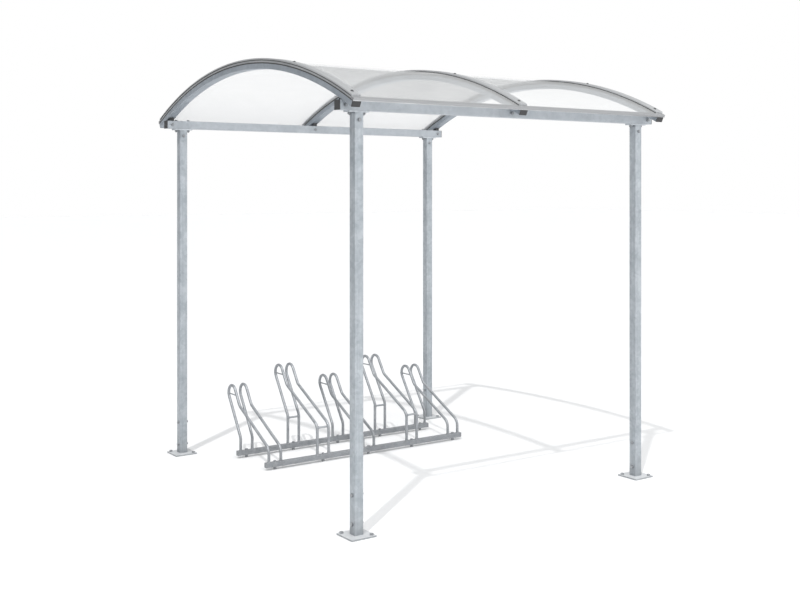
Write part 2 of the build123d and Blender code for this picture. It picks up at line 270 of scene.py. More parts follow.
# %% Drawn lines and settled dust
drawn_lines, given, result = start_group(
    "drawn lines", {"Across": 0.0008, "Along": 0.5, "Height across": 0.5}, ("Line",))
tree = drawn_lines
line_place = stretched_place(tree, given["Across"], given["Along"], given["Height across"])
tree.links.new(noise(tree, line_place, detail=3.0, roughness=0.7), result["Line"])

# This mask is real dust on most parts. It also carries painted light: a painted shade on the roof
# sheet's face to the sky and a painted highlight on the base plates' tops.
settled_dust_and_light, given, result = start_group(
    "settled dust and light", {"Patch size": 0.20, "Reach": 0.25}, ("Dust",))
tree = settled_dust_and_light
too_steep_for_dust, flat_enough = 0.2, 0.75
facing = spread(tree, one_axis(tree, "Normal", "Z"), too_steep_for_dust, flat_enough)
patches = noise(tree, even_place(tree, given["Patch size"]), detail=6.0, roughness=0.65)
rest = maths(tree, "SUBTRACT", 1.0, given["Reach"])
patchy = maths(tree, "MULTIPLY_ADD", patches, given["Reach"], rest)
tree.links.new(maths(tree, "MULTIPLY", facing, patchy), result["Dust"])
print("groups:", drawn_lines.name, "and", settled_dust_and_light.name)

# %% [markdown]
# ## Finishes for the steel
# Galvanised steel is a metal, but a dull one: its zinc carbonate skin scatters the light. The
# shader is therefore mostly metallic with a middling roughness, and the colour comes from two
# greys with a little blue in them. The tubes have large, faint crystals, and only the upright
# ones carry streaks. The plates are cut from sheet with sharper crystals, and the rack's bent
# bars are darker and finer, since a thin bar cools fast. On what faces the sky lies a pale film
# of dust, where the steel looks less like a metal. On the base plates it is thickest, and there it
# is dust and a painted highlight that makes their tops lighter than their edges.

# %% Galvanised finishes
def start_material(name):
    """A material with one Principled shader, and the shader's inputs."""
    material = bpy.data.materials.new(name)
    material.use_nodes = True
    shader = material.node_tree.nodes["Principled BSDF"]
    return material, material.node_tree, shader.inputs


rain_stain = (0.20, 0.22, 0.25, 1.0)
ground_dirt = (0.16, 0.16, 0.155, 1.0)
pale_dust_and_highlight = (0.80, 0.81, 0.82, 1.0)
crystal_share, cloud_share = 0.45, 0.55
gloss_swing = 0.14
dirt_dullness = 0.15
grain_share = 0.3
zinc_relief = 0.0006


def galvanised(name, dark, light, crystal_size, roughness, film, bump,
               metal=0.60, streaks=0.0, splash=0.0):
    """Zinc-coated steel: crystals and cloud between two greys, streaks, splash, and a film."""
    material, tree, surface = start_material(name)
    zinc = use(tree, zinc_crystals, crystal_size=crystal_size)
    stained = maths(tree, "MULTIPLY", use(tree, rain_streaks)["Streak"], streaks)
    dirt = use(tree, ground_splash)["Splash"]
    dust_and_highlight = maths(tree, "MULTIPLY", use(tree, settled_dust_and_light, patch_size=0.05)["Dust"], film)
    cloud = maths(tree, "MULTIPLY", zinc["Cloud"], cloud_share)
    tone = maths(tree, "MULTIPLY_ADD", zinc["Crystal"], crystal_share, cloud)
    colour = blend_colours(tree, tone, dark, light)
    colour = blend_colours(tree, stained, colour, rain_stain)
    colour = blend_colours(tree, maths(tree, "MULTIPLY", dirt, splash), colour, ground_dirt)
    colour = blend_colours(tree, dust_and_highlight, colour, pale_dust_and_highlight)
    tree.links.new(colour, surface["Base Color"])
    shine = maths(tree, "MULTIPLY_ADD", tone, gloss_swing, roughness - gloss_swing / 2)
    shine = maths(tree, "MULTIPLY_ADD", dirt, dirt_dullness * splash, shine)
    tree.links.new(shine, surface["Roughness"])
    tree.links.new(maths(tree, "MULTIPLY_ADD", dust_and_highlight, -metal, metal), surface["Metallic"])
    relief = maths(tree, "MULTIPLY_ADD", zinc["Grain"], grain_share, zinc["Crystal"])
    lumps = put(tree, "ShaderNodeBump",
                {"Height": relief, "Strength": bump, "Distance": zinc_relief})
    tree.links.new(lumps.outputs[0], surface["Normal"])
    return material


post_zinc = galvanised("post_finish", (0.34, 0.375, 0.405, 1.0), (0.53, 0.565, 0.595, 1.0),
                       crystal_size=0.016, roughness=0.48, film=0.10, bump=0.20,
                       streaks=0.22, splash=0.30)
beam_zinc = galvanised("beam_finish", (0.385, 0.415, 0.445, 1.0), (0.49, 0.52, 0.55, 1.0),
                       crystal_size=0.018, roughness=0.48, film=0.20, bump=0.20)
arch_zinc = galvanised("arch_finish", (0.28, 0.31, 0.345, 1.0), (0.40, 0.435, 0.475, 1.0),
                       crystal_size=0.018, roughness=0.50, film=0.20, bump=0.20)
plate_zinc = galvanised("galvanised_plate_finish",
                        (0.40, 0.43, 0.46, 1.0), (0.66, 0.69, 0.72, 1.0),
                        crystal_size=0.010, roughness=0.44, film=0.20, bump=0.30, splash=0.20)
# Painted highlight: the thick pale film makes the sky-facing tops of the base plates lighter than
# their edges.
foot_zinc_and_highlight = galvanised("foot_plate_dust_and_highlight", (0.34, 0.36, 0.38, 1.0), (0.52, 0.54, 0.56, 1.0),
                       crystal_size=0.010, roughness=0.44, film=0.80, bump=0.30, splash=0.20)
rack_zinc = galvanised("rack_steel_finish", (0.245, 0.26, 0.28, 1.0), (0.385, 0.40, 0.42, 1.0),
                       crystal_size=0.007, roughness=0.44, film=0.15, bump=0.25, splash=0.25)
hoop_zinc = galvanised("hoop_finish", (0.27, 0.285, 0.305, 1.0), (0.43, 0.445, 0.465, 1.0),
                       crystal_size=0.007, roughness=0.44, film=0.15, bump=0.25, splash=0.20)
steels = (post_zinc, beam_zinc, arch_zinc, plate_zinc, foot_zinc_and_highlight, rack_zinc, hoop_zinc)
print("steel finishes:", *(finish.name for finish in steels))

# %% [markdown]
# ## Aluminium rails and channels
# Mill-finish aluminium is lighter and warmer than zinc, with the drawn lines along it and a
# film of dust on its upper faces. The eave channels run along X and the cap rails and edge
# trims along the curve, so each gets the lines its own way from the same group.

# %% Aluminium finishes
grey_dust = (0.62, 0.62, 0.61, 1.0)
dust_share = 0.30
least_roughness = 0.22
line_roughness, dust_roughness = 0.18, 0.15
aluminium_metal = 0.70
score_strength, score_depth = 0.12, 0.0003


def aluminium(name, dark, light, across, along, height_across):
    """Drawn aluminium: fine lines along the profile, dust where it faces the sky."""
    material, tree, surface = start_material(name)
    line = use(tree, drawn_lines, across=across, along=along, height_across=height_across)["Line"]
    dust = use(tree, settled_dust_and_light, patch_size=0.12)["Dust"]
    colour = blend_colours(tree, spread(tree, line, low=0.35, high=0.65), dark, light)
    colour = blend_colours(tree, maths(tree, "MULTIPLY", dust, dust_share), colour, grey_dust)
    tree.links.new(colour, surface["Base Color"])
    surface["Metallic"].default_value = aluminium_metal
    shine = maths(tree, "MULTIPLY_ADD", dust, dust_roughness, least_roughness)
    shine = maths(tree, "MULTIPLY_ADD", line, line_roughness, shine)
    tree.links.new(shine, surface["Roughness"])
    scores = put(tree, "ShaderNodeBump",
                 {"Height": line, "Strength": score_strength, "Distance": score_depth})
    tree.links.new(scores.outputs[0], surface["Normal"])
    return material


hair = 0.0008
cap_rail_metal = aluminium("cap_rail_finish", (0.48, 0.49, 0.50, 1.0), (0.62, 0.63, 0.64, 1.0),
                           across=hair, along=0.5, height_across=0.5)
trim_metal = aluminium("edge_trim_finish", (0.44, 0.45, 0.46, 1.0), (0.57, 0.58, 0.59, 1.0),
                       across=hair, along=0.5, height_across=0.5)
eave_metal = aluminium("eave_channel_finish",
                       (0.33, 0.335, 0.345, 1.0), (0.42, 0.425, 0.435, 1.0),
                       across=0.6, along=hair, height_across=hair)
print("aluminium finishes:", cap_rail_metal.name, trim_metal.name, eave_metal.name)

# %% [markdown]
# ## Opal multiwall sheet
# A multiwall sheet is two thin skins joined by a web every centimetre, so that the roof is
# ribbed along its curve. The part models it as a solid plate, and the material shows the
# rest: each flute is a little clearer than its web, a pattern of one period per flute in X.
# The plastic is see-through enough for the arches to show as soft bands. The Alpha socket
# gives that: it lets rays straight through, which keeps the bands crisp where the sheet lies
# on the tube. A ray is weakened where it enters the sheet and hardly at all where it leaves,
# so what touches the far skin still shows. The face turned to the sky carries fine dust and a
# painted shade: it is painted greyer than the clean underside.
#
# The second of two sheets in a row is painted grey and made less clear: a painted shade that
# darkens a sheet wherever another sheet lies in front of it. A ray's transparent depth counts
# the see-through faces behind it: one sheet has two, so a depth of two or more means a second
# sheet. What a sheet scatters still comes down on the ground, so for shadows it counts as much
# clearer.

# %% Roof sheet finish
flute_pitch = 0.0105
flute_middle, web_starts, web_full = 0.5, 0.34, 0.48
cloud_across, cloud_along = 0.35, 0.20
faces_of_one_sheet = 2

roof_plastic_and_painted_shade, tree, surface = start_material("roof_sheet_painted_shade_finish")
phase = maths(tree, "FRACT", maths(tree, "DIVIDE", one_axis(tree, "Object", "X"), flute_pitch))
from_middle = maths(tree, "ABSOLUTE", maths(tree, "SUBTRACT", phase, flute_middle))
web = spread(tree, from_middle, web_starts, web_full)
cloud = noise(tree, stretched_place(tree, cloud_across, cloud_along, cloud_along), detail=4.0)
dust = use(tree, settled_dust_and_light, patch_size=0.25, reach=0.35)["Dust"]
light_path = put(tree, "ShaderNodeLightPath").outputs
depth = light_path["Transparent Depth"]
# Painted shade: where a ray has already passed one sheet, the next sheet's colour is painted dark
# grey.
second_sheet = maths(tree, "GREATER_THAN", depth, faces_of_one_sheet - 0.5)

flute_white, web_white = (0.88, 0.885, 0.89, 1.0), (0.78, 0.79, 0.80, 1.0)
# Painted shade: the face to the sky is greyed beyond its dust, and a sheet seen behind another
# sheet is painted dark grey.
sky_dust_and_shade, shaded_grey = (0.50, 0.505, 0.50, 1.0), (0.13, 0.13, 0.13, 1.0)
dust_and_shade_greying, second_sheet_painted_shade = 0.68, 0.92
dusted_and_shaded = maths(tree, "MULTIPLY", dust, dust_and_shade_greying)
shaded = maths(tree, "MULTIPLY", second_sheet, second_sheet_painted_shade)
colour = blend_colours(tree, web, flute_white, web_white)
colour = blend_colours(tree, dusted_and_shaded, colour, sky_dust_and_shade)
colour = blend_colours(tree, shaded, colour, shaded_grey)
tree.links.new(colour, surface["Base Color"])

flute_opacity, cloud_opacity, web_opacity, second_opacity = 0.43, 0.08, 0.14, 0.27
lost_where_leaving, lost_in_shadow_rays = 0.90, 0.65
opacity = maths(tree, "MULTIPLY_ADD", cloud, cloud_opacity, flute_opacity)
opacity = maths(tree, "MULTIPLY_ADD", web, web_opacity, opacity)
opacity = maths(tree, "MULTIPLY_ADD", second_sheet, second_opacity, opacity)
inside = put(tree, "ShaderNodeNewGeometry").outputs["Backfacing"]
entering = maths(tree, "MULTIPLY_ADD", inside, -lost_where_leaving, 1.0)
opacity = maths(tree, "MULTIPLY", opacity, entering)
scattered_on = maths(tree, "MULTIPLY_ADD", light_path["Is Shadow Ray"], -lost_in_shadow_rays, 1.0)
opacity = maths(tree, "MULTIPLY", opacity, scattered_on)
tree.links.new(opacity, surface["Alpha"])

clean_roughness, dusty_roughness = 0.30, 0.25
rib_strength, rib_depth = 0.25, 0.0008
shine = maths(tree, "MULTIPLY_ADD", dust, dusty_roughness, clean_roughness)
tree.links.new(shine, surface["Roughness"])
ribs = put(tree, "ShaderNodeBump",
           {"Height": web, "Strength": rib_strength, "Distance": rib_depth})
tree.links.new(ribs.outputs[0], surface["Normal"])
print("roof sheet: a web every", flute_pitch * 1000, "mm")

# %% [markdown]
# ## Rubber and black plastic
# Seals are matt black rubber with a faint bloom. End caps and saddle wedges are moulded
# plastic with a fine spark texture and a slightly higher sheen. Black on its own would look
# like a hole, so both stay a few percent above it and vary over the surface.

# %% Rubber and plastic finishes
bloom_patch, bloom_share, paling_dust = 0.03, 0.5, 0.6
texture_roughness = 0.16


def dark_moulding(name, dark, light, grain_size, roughness, bump):
    """Dark rubber or plastic: a fine texture, with bloom and dust as its lighter tone."""
    material, tree, surface = start_material(name)
    texture = noise(tree, even_place(tree, grain_size), detail=3.0)
    bloom_cloud = noise(tree, even_place(tree, bloom_patch), detail=5.0)
    bloom = maths(tree, "MULTIPLY", bloom_cloud, bloom_share)
    dust = use(tree, settled_dust_and_light, patch_size=0.05)["Dust"]
    amount = maths(tree, "MULTIPLY_ADD", dust, paling_dust, bloom)
    tree.links.new(blend_colours(tree, amount, dark, light), surface["Base Color"])
    shine = maths(tree, "MULTIPLY_ADD", texture, texture_roughness, roughness)
    tree.links.new(shine, surface["Roughness"])
    pits = put(tree, "ShaderNodeBump",
               {"Height": texture, "Strength": bump, "Distance": score_depth})
    tree.links.new(pits.outputs[0], surface["Normal"])
    return material


seal_black = dark_moulding("seal_rubber_finish",
                           (0.030, 0.030, 0.032, 1.0), (0.095, 0.095, 0.095, 1.0),
                           grain_size=0.0010, roughness=0.62, bump=0.15)
cap_black = dark_moulding("black_plastic_finish",
                          (0.028, 0.028, 0.030, 1.0), (0.075, 0.075, 0.077, 1.0),
                          grain_size=0.0008, roughness=0.38, bump=0.30)
print("dark finishes:", seal_black.name, cap_black.name)

# %% [markdown]
# ## Dress the CAD nodes
# The record says which material slot each node belongs to. The nodes keep their meshes, and
# only the material in each slot is changed. Some families of nodes share a slot with others
# but weather in their own way, such as the posts, which carry streaks, or the eave channels,
# whose lines run along X. The black caps in the arch ends stay black.

# %% Give every CAD node its finish
finish_of_slot = {
    "galvanised_tube": beam_zinc,
    "galvanised_plate": plate_zinc,
    "rack_steel": rack_zinc,
    "aluminium_profile": cap_rail_metal,
    "roof_sheet": roof_plastic_and_painted_shade,
    "seal_rubber": seal_black,
    "black_plastic": cap_black,
}
finish_of_family = {"post": post_zinc, "foot": foot_zinc_and_highlight, "arch": arch_zinc, "hoops": hoop_zinc,
                    "eave": eave_metal, "edge": trim_metal}
slot_of_node = {entry["node"]: entry["material_slot"] for entry in frame["record"]["subparts"]}
for name, part in nodes.items():
    slot_name = slot_of_node[name]
    finish = finish_of_slot[slot_name]
    if slot_name != "black_plastic":
        finish = finish_of_family.get(name.split("_")[0], finish)
    if not part.material_slots:
        part.data.materials.append(finish)
    for material_slot in part.material_slots:
        material_slot.material = finish
print("dressed", len(nodes), "nodes")

# %% [markdown]
# ## Turned shapes for bolts
# Washers, nuts, bolt heads and studs are all turned about an axis. Such a surface is a grid
# of two parameters: the ring that a point is on and its angle round the axis. A hexagon is
# the same grid with its radius cut down to the distance of the flats, and the chamfer of a
# nut comes from taking the smaller of a circle and that hexagon at each ring, as a lathe cuts
# it on the real one.

# %% Helpers for turned shapes
sides = 24
turn = np.arange(sides) / sides * 2 * math.pi


def hexagon(width):
    """Distance from the axis to a hexagon: half its width over cos(angle from the nearest flat)."""
    return width / 2 / np.cos(turn % (math.pi / 3) - math.pi / 6)


def turned(heights, radii, outline=None):
    """Rings of radius min(r, outline) at rising heights, each end closed by a fan to the axis."""
    heights = np.asarray(heights, float)
    radius = np.asarray(radii, float)[:, None] * np.ones(sides)
    if outline is not None:
        radius = np.minimum(radius, outline)
    level = heights[:, None] * np.ones(sides)
    rings = np.stack([radius * np.cos(turn), radius * np.sin(turn), level], -1).reshape(-1, 3)
    ends = np.array([[0.0, 0.0, heights[0]], [0.0, 0.0, heights[-1]]])
    count = len(heights)
    ring, step = np.meshgrid(np.arange(count - 1), np.arange(sides), indexing="ij")
    here = ring * sides + step
    beside = ring * sides + (step + 1) % sides
    quads = np.stack([here, beside, beside + sides, here + sides], -1).reshape(-1, 4)
    around = np.arange(sides)
    following = (around + 1) % sides
    top = (count - 1) * sides
    low_fan = np.stack([np.full(sides, count * sides), following, around], -1)
    high_fan = np.stack([np.full(sides, count * sides + 1), top + around, top + following], -1)
    return np.concatenate([rings, ends]), [quads, np.concatenate([low_fan, high_fan])]


def joined(*shapes):
    """Several shapes as one: their points in a row, their faces counted on."""
    counts = np.cumsum([0] + [len(points) for points, _ in shapes])
    points = np.concatenate([points for points, _ in shapes])
    quads = np.concatenate([faces[0] + start for (_, faces), start in zip(shapes, counts)])
    triangles = np.concatenate([faces[1] + start for (_, faces), start in zip(shapes, counts)])
    return points, [quads, triangles]


def raised(shape, height):
    """The same shape, higher along its own axis."""
    points, faces = shape
    return points + np.array([0.0, 0.0, height]), faces


print("a turned shape has", sides, "sides")

# %% [markdown]
# ## The fasteners of this shelter
# Structural joints use M10 bolts with hexagon heads, washers and nuts. Screwed anchors with
# low heads hold the feet and the rack to the ground, M12 and M10, and self-sealing roofing
# screws with a flange hold the cap rails. Every nut is a little thicker than a head, and
# the end of its bolt stands out past it with its thread showing. The thread is a true spiral:
# its depth at a point depends on height over pitch, less the angle's share of a turn.

# %% Heads, nuts, washers and threads
chamfer = math.radians(30)
face_share = 0.97
thread_depth_share = 0.55
rings_per_pitch = 6
stud_in_nut = 0.0005


def washer(radius, thickness):
    """Flat ring seen as a disc, its edges eased by a fifth of its thickness."""
    ease = thickness / 5
    heights = [0.0, ease, thickness - ease, thickness]
    return turned(heights, [radius - ease, radius, radius, radius - ease])


def hex_block(width, height, chamfered_foot):
    """Hexagon with its corners turned off at the top, and at the foot too if it is a nut."""
    outline = hexagon(width)
    corner = outline.max()
    face = width / 2 * face_share
    drop = (corner - face) * math.tan(chamfer)
    foot = face if chamfered_foot else corner
    return turned([0.0, drop, height - drop, height], [foot, corner, corner, face], outline)


def thread(radius, pitch, length):
    """Spiral thread: the radius falls by a triangle wave of height/pitch - angle/turn."""
    depth = thread_depth_share * pitch
    steps = int(length / pitch * rings_per_pitch)
    heights = np.linspace(0.0, length, steps)
    wave = (heights[:, None] / pitch - turn[None, :] / (2 * math.pi)) % 1.0
    cut = depth * np.abs(2.0 * wave - 1.0)
    lead = np.clip((length - heights) / pitch, 0.0, 1.0)[:, None]
    radius_grid = radius - cut - (1.0 - lead) * depth
    points, faces = turned(heights, np.full(steps, radius))
    points[:-2, 0] = (radius_grid * np.cos(turn)).ravel()
    points[:-2, 1] = (radius_grid * np.sin(turn)).ravel()
    return points, faces


def bolt_head(width, height, washer_radius, washer_thickness):
    """Washer with a hexagon head on it."""
    return joined(washer(washer_radius, washer_thickness),
                  raised(hex_block(width, height, False), washer_thickness))


def nut_end(width, height, washer_radius, washer_thickness, bolt_radius, pitch, proud):
    """Washer, nut, and the bolt's threaded end standing proud of it."""
    seat = washer_thickness + height
    return joined(washer(washer_radius, washer_thickness),
                  raised(hex_block(width, height, True), washer_thickness),
                  raised(thread(bolt_radius, pitch, proud), seat - stud_in_nut))


m10_head = bolt_head(width=0.016, height=0.0064, washer_radius=0.0100, washer_thickness=0.0020)
m10_nut = nut_end(width=0.016, height=0.0084, washer_radius=0.0100, washer_thickness=0.0020,
                  bolt_radius=0.0050, pitch=0.0015, proud=0.0045)
m12_head = bolt_head(width=0.018, height=0.0070, washer_radius=0.0105, washer_thickness=0.0015)

flange_radius, flange_neck_radius = 0.0068, 0.0050
flange_edge, flange_height = 0.0008, 0.0014
head_in_flange, seal_pressed_to = 0.0006, 0.0017
screw_seal = washer(radius=0.0085, thickness=0.0018)
screw_flange = turned([0.0, flange_edge, flange_height],
                      [flange_radius, flange_radius, flange_neck_radius])
screw_block = hex_block(width=0.0080, height=0.0030, chamfered_foot=False)
screw_head = raised(screw_block, head_in_flange)
roof_screw = raised(joined(screw_flange, screw_head), seal_pressed_to)
print("M10 nut end stands", round(float(m10_nut[0][:, 2].max()) * 1000, 1), "mm proud")

# %% [markdown]
# ## Many copies in one mesh
# A shelter has dozens of the same bolt. Each copy is the shape turned so that its axis points
# out of the surface, spun by its own angle, since nobody lines up the flats of their bolts,
# and moved to its place. All copies of one kind are worked out together as one array and
# become one object.

# %% Place copies and make the object
random = np.random.default_rng(7)
nearly_upright = 0.9
sixth_of_a_turn = math.pi / 3


def turned_frames(axes, spins):
    """One rotation for each axis: the third column is the axis, and the first is spun about it."""
    axes = np.asarray(axes, float)
    axes = axes / np.linalg.norm(axes, axis=1, keepdims=True)
    upright = np.abs(axes[:, 2]) > nearly_upright
    helper = np.where(upright[:, None], [1.0, 0.0, 0.0], [0.0, 0.0, 1.0])
    first = np.cross(helper, axes)
    first = first / np.linalg.norm(first, axis=1, keepdims=True)
    second = np.cross(axes, first)
    cos, sin = np.cos(spins)[:, None], np.sin(spins)[:, None]
    return np.stack([first * cos + second * sin, second * cos - first * sin, axes], -1)


def copies(shape, places, axes):
    """The shape once at each place, its axis along the given direction, its spin at random."""
    points, faces = shape
    places = np.asarray(places, float)
    frames = turned_frames(axes, random.uniform(0, sixth_of_a_turn, len(places)))
    all_points = np.einsum("nij,pj->npi", frames, points) + places[:, None, :]
    starts = (np.arange(len(places)) * len(points))[:, None, None]
    all_faces = [(group[None, :, :] + starts).reshape(-1, group.shape[1]) for group in faces]
    return all_points.reshape(-1, 3), all_faces


def make_piece(name, shape, finish, smooth=False):
    """Put points and faces into a mesh, dress it and let it ride with the shelter."""
    points, faces = shape
    mesh = bpy.data.meshes.new(name)
    corner_counts = np.concatenate([np.full(len(group), group.shape[1]) for group in faces])
    corners = np.concatenate([group.ravel() for group in faces])
    starts = np.cumsum(corner_counts) - corner_counts
    mesh.vertices.add(len(points))
    mesh.vertices.foreach_set("co", points.astype(np.float32).ravel())
    mesh.loops.add(len(corners))
    mesh.loops.foreach_set("vertex_index", corners.astype(np.int32))
    mesh.polygons.add(len(starts))
    mesh.polygons.foreach_set("loop_start", starts.astype(np.int32))
    mesh.polygons.foreach_set("use_smooth", np.full(len(starts), smooth))
    mesh.update(calc_edges=True)
    mesh.validate()
    mesh.materials.append(finish)
    piece = bpy.data.objects.new(name, mesh)
    scene.collection.objects.link(piece)
    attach(piece, "root")
    print(name, len(starts), "faces")


# %% [markdown]
# ## Bolt steel
# Bolts are electro-plated: smoother than the dipped parts and a shade darker, so that they
# still read as small dots on the pale tubes. One call fastens a whole row of them.

# %% Finish of the bolts
bolt_zinc = galvanised("bolt_finish", (0.24, 0.25, 0.265, 1.0), (0.42, 0.435, 0.45, 1.0),
                       crystal_size=0.002, roughness=0.38, film=0.10, bump=0.12, metal=0.70)


def fasten(name, shape, places, axis):
    """Bolts of one kind at all their places, with their axes along the same direction."""
    row = copies(shape, places, [axis] * len(places))
    make_piece(name, row, bolt_zinc)


print("bolts:", bolt_zinc.name)

# %% [markdown]
# ## Bolts through the posts
# Each post slips over a spigot on its base plate, and two bolts across X hold it there. One
# bolt across Y, just under the beam, holds the head bracket's spigot. The head of each bolt
# is on the face that is seen first, the nut on the far one.

# %% Post bolts
foot_bolt_heights = (0.060, 0.202)
head_bolt_drop = 0.045

foot_heads, foot_nuts, neck_heads, neck_nuts = [], [], [], []
for centre in post_centres.values():
    for level in foot_bolt_heights:
        foot_heads.append((centre.x - tube_half, centre.y, level))
        foot_nuts.append((centre.x + tube_half, centre.y, level))
    neck_level = beam_underside - head_bolt_drop
    neck_heads.append((centre.x, centre.y - tube_half, neck_level))
    neck_nuts.append((centre.x, centre.y + tube_half, neck_level))

fasten("foot_bolt_heads", m10_head, foot_heads, (-1, 0, 0))
fasten("foot_bolt_nuts", m10_nut, foot_nuts, (1, 0, 0))
fasten("neck_bolt_heads", m10_head, neck_heads, (0, -1, 0))
fasten("neck_bolt_nuts", m10_nut, neck_nuts, (0, 1, 0))

# %% [markdown]
# ## Bolts through the beams
# Two upright bolts beside each post clamp the beam onto the bracket's plate: heads on top of
# the beam, nuts below the plate. Under each arch a bolt goes through the beam from front to
# back, and holds the fixing inside the arch's saddle.

# %% Beam bolts
bracket_bolt_offset = 0.042

bracket_heads, bracket_nuts = [], []
for centre in post_centres.values():
    for offset in (-bracket_bolt_offset, bracket_bolt_offset):
        bracket_heads.append((centre.x + offset, centre.y, beam_top))
        bracket_nuts.append((centre.x + offset, centre.y, bracket_underside))

arch_heads, arch_nuts = [], []
for low, high in beam_boxes.values():
    for x in arch_xs:
        arch_heads.append((x, low.y, beam_middle))
        arch_nuts.append((x, high.y, beam_middle))

fasten("bracket_bolt_heads", m10_head, bracket_heads, (0, 0, 1))
fasten("bracket_bolt_nuts", m10_nut, bracket_nuts, (0, 0, -1))
fasten("arch_bolt_heads", m10_head, arch_heads, (0, -1, 0))
fasten("arch_bolt_nuts", m10_nut, arch_nuts, (0, 1, 0))

# %% [markdown]
# ## Screws of the cap rails
# Five roofing screws press each cap rail onto its seals, at nearly even steps along the curve.
# Their axes point away from the line that the roof is turned about: at a distance y from the
# middle, the angle's sine is y over the rail's radius. A rubber ring under each screw keeps
# the rain out, and each screw is painted dark, so a row of dots shows along the rail.

# %% Cap rail screws
screw_ys = np.array([-1.120, -0.560, 0.012, 0.566, 1.120])
screw_angles = np.arcsin(screw_ys / roof_top_radius)
no_slant = np.zeros_like(screw_ys)
outward = np.stack([no_slant, np.sin(screw_angles), np.cos(screw_angles)], -1)
on_rail = outward * roof_top_radius + np.array([0.0, 0.0, axis_height])
screw_places = np.concatenate([on_rail + np.array([x, 0.0, 0.0]) for x in arch_xs])
screw_axes = np.tile(outward, (len(arch_xs), 1))
screw_paint = galvanised("screw_finish", (0.085, 0.09, 0.095, 1.0), (0.15, 0.155, 0.16, 1.0),
                         crystal_size=0.002, roughness=0.45, film=0.10, bump=0.12, metal=0.30)
make_piece("cap_rail_screws", copies(roof_screw, screw_places, screw_axes),
           screw_paint)
make_piece("cap_rail_screw_seals", copies(screw_seal, screw_places, screw_axes),
           seal_black)

# %% [markdown]
# ## Drip beads of the eaves
# The lower edge of each eave channel is pressed round, so that water drips off it instead of
# creeping back. The channel leans with the roof: its outer face stands square to the curve,
# and its lower edge lies one thickness further in than the box's side. The bead carries a
# painted highlight: it is painted light in some places and dull in others, so a bright line shows
# here and there.

# %% Drip beads
eave_thickness = 0.0133
bead_radius = 0.0022
bead_ease = 0.0005
drip_ends = []
for side, name in ((-1, "eave_profile_front"), (1, "eave_profile_back")):
    low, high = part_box(name)
    outer_y = max(abs(low.y), abs(high.y))
    lower_y = outer_y - eave_thickness * outer_y / roof_top_radius
    drip_ends.append((low.x, side * lower_y, low.z))
drip_length = high.x - low.x
# Painted highlight: the bead's lighter patches stand for light caught along the eave's edge.
bead_painted_highlight = aluminium("drip_bead_painted_highlight", (0.34, 0.345, 0.355, 1.0), (0.60, 0.61, 0.62, 1.0),
                       across=0.12, along=hair, height_across=hair)
drip = turned([0.0, bead_ease, drip_length - bead_ease, drip_length],
              [bead_radius - bead_ease, bead_radius, bead_radius, bead_radius - bead_ease])
drip_axes = [(1, 0, 0)] * len(drip_ends)
make_piece("eave_drip_beads", copies(drip, drip_ends, drip_axes), bead_painted_highlight,
           smooth=True)

# %% [markdown]
# ## Ground anchors
# Two M12 anchors hold each base plate, on its diagonal. The rack's rails are held by one M10
# anchor in the middle of each wheel place, down through the rail and the round spacer under
# it. The places are read from the boxes of the hoop nodes.

# %% Anchors
anchor_offset = 0.054
plate_anchors = []
for centre in post_centres.values():
    plate_anchors.append((centre.x - anchor_offset, centre.y + anchor_offset, plate_top))
    plate_anchors.append((centre.x + anchor_offset, centre.y - anchor_offset, plate_top))

rail_boxes = [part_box("rack_rail_front"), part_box("rack_rail_back")]
rail_ys = [(low.y + high.y) / 2 for low, high in rail_boxes]
rail_top = rail_boxes[0][1].z
hoop_boxes = {name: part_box(name) for name in nodes if name.startswith("hoops_")}
place_xs = {name: (low.x + high.x) / 2 for name, (low, high) in hoop_boxes.items()}
rack_anchors = [(x, y, rail_top) for y in rail_ys for x in place_xs.values()]

fasten("base_plate_anchors", m12_head, plate_anchors, (0, 0, 1))
fasten("rack_anchors", m10_head, rack_anchors, (0, 0, 1))

# %% [markdown]
# ## Welds of the rack
# Each hoop leg is welded to its rail with a bead all the way round, and so is each end of a
# tie and of a rest bar. A bead is a torus whose small radius swells and shrinks as the
# welder's torch moves on, about every 3 mm. The beads are dipped in zinc with the rack, so
# they take the finish of its hoops.
#
# A tie runs level across the hairpin. Its front end meets the straight limb, which leans
# back, so the bead there is square to the limb. Its rear end goes through the bend, whose bar
# lies on a circle, so the two beads there are square to that circle.

# %% Weld beads
long_steps, short_steps = 40, 8
ripple_swell = 0.16
slow_swell, slow_waves, slow_start = 0.06, 3, 1.0


def bead(radius, size, ripples):
    """Torus: its small radius is size * (1 + a sin(ripples * angle) + b sin(3 * angle + 1))."""
    i, j = np.meshgrid(np.arange(long_steps), np.arange(short_steps), indexing="ij")
    u = i / long_steps * 2 * math.pi
    v = j / short_steps * 2 * math.pi
    slow = slow_swell * np.sin(slow_waves * u + slow_start)
    small = size * (1 + ripple_swell * np.sin(ripples * u) + slow)
    reach = radius + small * np.cos(v)
    points = np.stack([reach * np.cos(u), reach * np.sin(u), small * np.sin(v)], -1)
    here, ahead = i * short_steps, (i + 1) % long_steps * short_steps
    beside = (j + 1) % short_steps
    quads = np.stack([here + j, ahead + j, ahead + beside, here + beside], -1)
    return points.reshape(-1, 3), [quads.reshape(-1, 4)]


def weld(name, radius, size, ripples, ends, axes):
    """Beads of one kind at all their places, each square to its own bar."""
    beads = copies(bead(radius, size, ripples), ends, axes)
    make_piece(name, beads, hoop_zinc, smooth=True)


bar_radius = 0.009
tie_radius = 0.004
rest_radius = 0.006
rest_level = 0.214
tie_drop = 0.056
hairpin_gap = 0.100
lean = math.radians(56.0)

